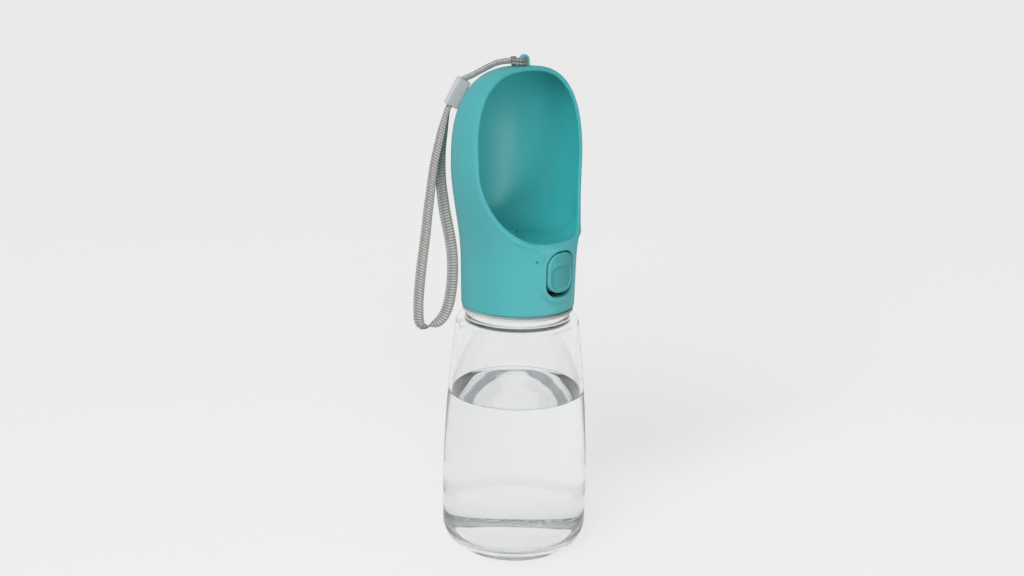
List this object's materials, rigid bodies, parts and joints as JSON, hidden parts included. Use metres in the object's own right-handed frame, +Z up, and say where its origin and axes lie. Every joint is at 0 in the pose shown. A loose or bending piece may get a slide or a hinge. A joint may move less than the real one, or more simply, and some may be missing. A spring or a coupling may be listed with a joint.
{
  "type": "dog travel water bottle",
  "caption": "Clear bottle with a screw-on drinking head: scooped bowl, sliding and pressing water key with a poppet valve behind it, and a woven wrist strap.",
  "frame": {"origin": "centre of the bottle's base, on the surface it stands on", "axes": "+Z up along the bottle's axis; the bowl's opening and the key face -Y"},
  "size_m": [0.0766, 0.0757, 0.2561],
  "materials": {
    "clear_bottle": "clear moulded copolyester, polished",
    "teal_plastic": "teal moulded plastic, fine satin",
    "teal_key": "teal moulded plastic, fine satin",
    "pale_plastic": "pale grey moulded plastic",
    "white_plastic": "white acetal, smooth",
    "white_silicone": "white silicone, satin",
    "grey_silicone": "grey silicone, satin",
    "black_rubber": "black rubber",
    "screw_steel": "stainless steel",
    "washer_steel": "stainless steel",
    "spring_steel": "stainless spring wire",
    "strap_fabric": "grey woven polyester",
    "clip_plastic": "grey moulded plastic, satin"
  },
  "bodies": {
    "bottle": {"bottle": "clear_bottle"},
    "seal": {"mouth_gasket": "white_silicone"},
    "head": {"head_shell": "teal_plastic", "thread_sleeve": "pale_plastic", "valve_body": "pale_plastic", "stem_bush": "white_plastic", "stem_o_ring": "black_rubber", "valve_seat": "white_plastic", "barrel_cap": "pale_plastic", "outlet_gasket": "white_silicone", "key_guide": "pale_plastic", "guide_screws": "screw_steel", "valve_spring": "spring_steel", "strap_cord": "strap_fabric", "strap_clip": "clip_plastic", "strap_webbing": "strap_fabric"},
    "lock": {"lock_carrier": "white_plastic"},
    "key": {"key_cap": "teal_key", "key_plunger": "white_plastic"},
    "poppet": {"valve_stem": "white_plastic", "valve_plug": "grey_silicone", "stem_washer": "washer_steel"}
  },
  "joints": [
    {"name": "head_rise", "type": "slide", "parent": "bottle", "child": "seal", "axis": [0, 0, 1], "range_m": [0, 0.009]},
    {"name": "head_turn", "type": "hinge", "parent": "seal", "child": "head", "pos_m": [0, 0, 0.13], "axis": [0, 0, 1], "range_deg": [0, 540]},
    {"name": "lock_slide", "type": "slide", "parent": "head", "child": "lock", "axis": [0, 0, -1], "range_m": [0, 0.0016]},
    {"name": "key_press", "type": "slide", "parent": "lock", "child": "key", "axis": [0, 1, 0], "range_m": [0, 0.003], "stiffness_N_per_m": 400, "springref_m": -0.003},
    {"name": "poppet_slide", "type": "slide", "parent": "head", "child": "poppet", "axis": [0, 1, 0], "range_m": [0, 0.003], "stiffness_N_per_m": 400, "springref_m": -0.003, "deforming": ["valve_spring"]}
  ],
  "couplings": [
    {"joint": "head_rise", "follows": "head_turn", "m_per_rad": 0.00095493},
    {"joint": "poppet_slide", "follows": "key_press", "ratio": 1}
  ]
}
